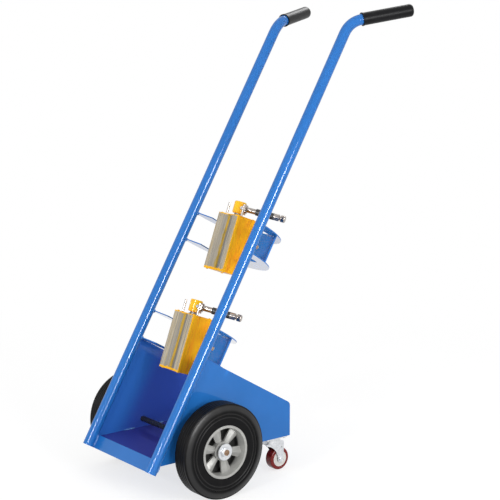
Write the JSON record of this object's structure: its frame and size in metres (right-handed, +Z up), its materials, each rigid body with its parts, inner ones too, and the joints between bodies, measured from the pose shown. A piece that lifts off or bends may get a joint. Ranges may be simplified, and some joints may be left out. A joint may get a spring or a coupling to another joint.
{
  "type": "cylinder hand truck",
  "caption": "Leaning tube hand truck with large wheels, rear swivel casters and switchable lifting magnets that hold a steel gas cylinder.",
  "frame": {"origin": "on the floor, in the middle of the truck's outline", "axes": "+Z up, +Y to the back where the handles point, +X to the levers' side"},
  "size_m": [0.48, 0.8575, 1.2797],
  "materials": {
    "blue_paint": "gloss powder coat",
    "black_grip": "satin vinyl",
    "black_axle": "black oxide",
    "zinc": "bright zinc plate",
    "tyre_rubber": "matte rubber",
    "hub_plastic": "satin moulded grey",
    "bearing_steel": "ground steel",
    "caster_core": "moulded cream",
    "caster_tread": "gloss polyurethane",
    "yellow_paint": "gloss enamel, bare pole faces",
    "rotor_steel": "turned steel",
    "bright_steel": "bright plated steel",
    "lever_sleeve": "black sleeve"
  },
  "bodies": {
    "frame": {"left_rail": "blue_paint", "right_rail": "blue_paint", "left_side_plate": "blue_paint", "right_side_plate": "blue_paint", "back_panel": "blue_paint", "floor_plate": "blue_paint", "kick_plate": "blue_paint", "box_top_plate": "blue_paint", "lower_bracket_top_plate": "blue_paint", "lower_bracket_web": "blue_paint", "upper_bracket_bottom_plate": "blue_paint", "upper_bracket_top_plate": "blue_paint", "upper_bracket_web": "blue_paint", "pivot_ears": "blue_paint", "left_grip": "black_grip", "right_grip": "black_grip", "axle": "black_axle", "axle_spacers": "black_axle", "axle_washers": "zinc", "axle_nuts": "zinc", "pivot_pins": "zinc", "caster_plates": "zinc", "caster_kingpins": "zinc", "caster_bolts": "zinc"},
    "left_wheel": {"left_tyre": "tyre_rubber", "left_wheel_hub": "hub_plastic", "left_wheel_bearings": "bearing_steel"},
    "left_caster": {"left_caster_fork": "zinc", "left_caster_axle": "zinc"},
    "left_caster_wheel": {"left_caster_core": "caster_core", "left_caster_tread": "caster_tread"},
    "right_wheel": {"right_tyre": "tyre_rubber", "right_wheel_hub": "hub_plastic", "right_wheel_bearings": "bearing_steel"},
    "right_caster": {"right_caster_fork": "zinc", "right_caster_axle": "zinc"},
    "right_caster_wheel": {"right_caster_core": "caster_core", "right_caster_tread": "caster_tread"},
    "lower_magnet": {"lower_magnet_left_pole": "yellow_paint", "lower_magnet_right_pole": "yellow_paint", "lower_magnet_spacers": "yellow_paint", "lower_magnet_end_plates": "yellow_paint", "lower_magnet_lug": "yellow_paint", "lower_magnet_stop_pins": "bright_steel"},
    "lower_rotor_body": {"lower_rotor": "rotor_steel", "lower_knob": "yellow_paint"},
    "lower_lever": {"lower_lever_rod": "bright_steel", "lower_lever_grip": "lever_sleeve", "lower_lever_key": "bright_steel"},
    "upper_magnet": {"upper_magnet_left_pole": "yellow_paint", "upper_magnet_right_pole": "yellow_paint", "upper_magnet_spacers": "yellow_paint", "upper_magnet_end_plates": "yellow_paint", "upper_magnet_lug": "yellow_paint", "upper_magnet_stop_pins": "bright_steel"},
    "upper_rotor_body": {"upper_rotor": "rotor_steel", "upper_knob": "yellow_paint"},
    "upper_lever": {"upper_lever_rod": "bright_steel", "upper_lever_grip": "lever_sleeve", "upper_lever_key": "bright_steel"}
  },
  "joints": [
    {"name": "left_wheel_spin", "type": "hinge", "parent": "frame", "child": "left_wheel", "pos_m": [-0.2075, -0.23508, 0.127], "axis": [1, 0, 0], "continuous": true},
    {"name": "left_caster_swivel", "type": "hinge", "parent": "frame", "child": "left_caster", "pos_m": [-0.126, 0.00292, 0.03175], "axis": [0, 0, 1], "continuous": true},
    {"name": "left_caster_wheel_spin", "type": "hinge", "parent": "left_caster", "child": "left_caster_wheel", "pos_m": [-0.126, 0.02592, 0.03175], "axis": [1, 0, 0], "continuous": true},
    {"name": "right_wheel_spin", "type": "hinge", "parent": "frame", "child": "right_wheel", "pos_m": [0.2075, -0.23508, 0.127], "axis": [1, 0, 0], "continuous": true},
    {"name": "right_caster_swivel", "type": "hinge", "parent": "frame", "child": "right_caster", "pos_m": [0.126, 0.00292, 0.03175], "axis": [0, 0, 1], "continuous": true},
    {"name": "right_caster_wheel_spin", "type": "hinge", "parent": "right_caster", "child": "right_caster_wheel", "pos_m": [0.126, 0.02592, 0.03175], "axis": [1, 0, 0], "continuous": true},
    {"name": "lower_magnet_tilt", "type": "hinge", "parent": "frame", "child": "lower_magnet", "pos_m": [0, -0.13873, 0.35101], "axis": [1, 0, 0], "range_deg": [-20, 0]},
    {"name": "lower_lever_turn", "type": "hinge", "parent": "lower_magnet", "child": "lower_rotor_body", "pos_m": [0, -0.15932, 0.46623], "axis": [0, 0.3424, 0.9395], "range_deg": [-36, 140]},
    {"name": "lower_lever_pull", "type": "slide", "parent": "lower_rotor_body", "child": "lower_lever", "axis": [0.788, 0.5784, -0.2108], "range_m": [0, 0.006], "stiffness_N_per_m": 800, "springref_m": -0.005},
    {"name": "upper_magnet_tilt", "type": "hinge", "parent": "frame", "child": "upper_magnet", "pos_m": [0, 0.01483, 0.61338], "axis": [1, 0, 0], "range_deg": [-20, 0]},
    {"name": "upper_lever_turn", "type": "hinge", "parent": "upper_magnet", "child": "upper_rotor_body", "pos_m": [0, -0.00764, 0.72342], "axis": [0, 0.3424, 0.9395], "range_deg": [-36, 140]},
    {"name": "upper_lever_pull", "type": "slide", "parent": "upper_rotor_body", "child": "upper_lever", "axis": [0.788, 0.5784, -0.2108], "range_m": [0, 0.006], "stiffness_N_per_m": 800, "springref_m": -0.005}
  ]
}
